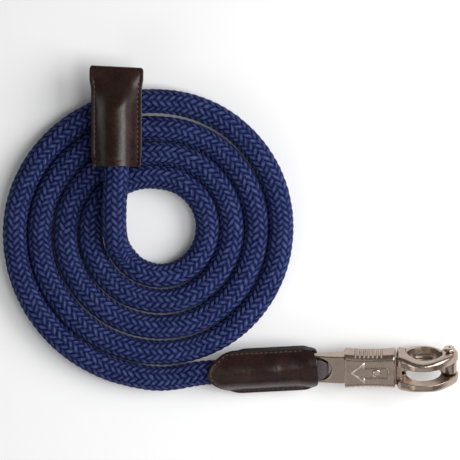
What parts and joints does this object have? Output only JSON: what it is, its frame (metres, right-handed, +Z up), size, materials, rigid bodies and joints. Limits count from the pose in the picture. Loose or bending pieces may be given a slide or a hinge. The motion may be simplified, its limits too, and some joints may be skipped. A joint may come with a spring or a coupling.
{
  "type": "lead rope with quick-release snap",
  "caption": "Braided lead rope coiled flat, with a stitched leather cover, a leather loop, a quick-release snap with sliding collar and hinged gate, and a leather end cap.",
  "frame": {"origin": "on the surface it lies on, under the middle of the leather and metal fittings' bounding box", "axes": "+Z up from the surface, +X from the leather cover towards the snap's nose, +Y from the snap's side towards the end cap"},
  "size_m": [0.3144, 0.2262, 0.04],
  "materials": {
    "navy_rope": "matt braided",
    "brown_leather": "oiled, lightly polished",
    "dark_leather": "smooth",
    "thread": "waxed",
    "satin_nickel": "satin nickel plate on a zinc casting",
    "spring_steel": "plain wire"
  },
  "bodies": {
    "lead": {"rope_coil": "navy_rope", "rope_lead": "navy_rope", "rope_tail": "navy_rope", "cover_front": "brown_leather", "cover_back": "brown_leather", "cover_seam_upper": "thread", "cover_seam_lower": "thread", "loop_strap": "dark_leather", "end_cap": "brown_leather", "cap_seam_left": "thread", "cap_seam_right": "thread"},
    "snap": {"snap_body": "satin_nickel", "pivot_pin": "satin_nickel"},
    "collar": {"release_collar": "satin_nickel", "stop_pin": "satin_nickel", "collar_spring": "spring_steel"},
    "gate": {"gate": "satin_nickel"}
  },
  "joints": [
    {"name": "snap_tilt", "type": "hinge", "parent": "lead", "child": "snap", "pos_m": [0.02253, -0.09511, 0.01507], "axis": [-0.0332, 0.891, 0.4528], "range_deg": [-8, 8]},
    {"name": "collar_slide", "type": "slide", "parent": "snap", "child": "collar", "axis": [-0.9973, 0, -0.0732], "range_m": [0, 0.01], "stiffness_N_per_m": 500, "springref_m": -0.008, "deforming": ["collar_spring"]},
    {"name": "gate_swing", "type": "hinge", "parent": "snap", "child": "gate", "pos_m": [0.12047, -0.09374, 0.01958], "axis": [0.0332, -0.891, -0.4528], "range_deg": [0, 95]}
  ],
  "couplings": [
    {"joint": "gate_swing", "follows": "collar_slide", "rad_per_m": 165.8}
  ]
}
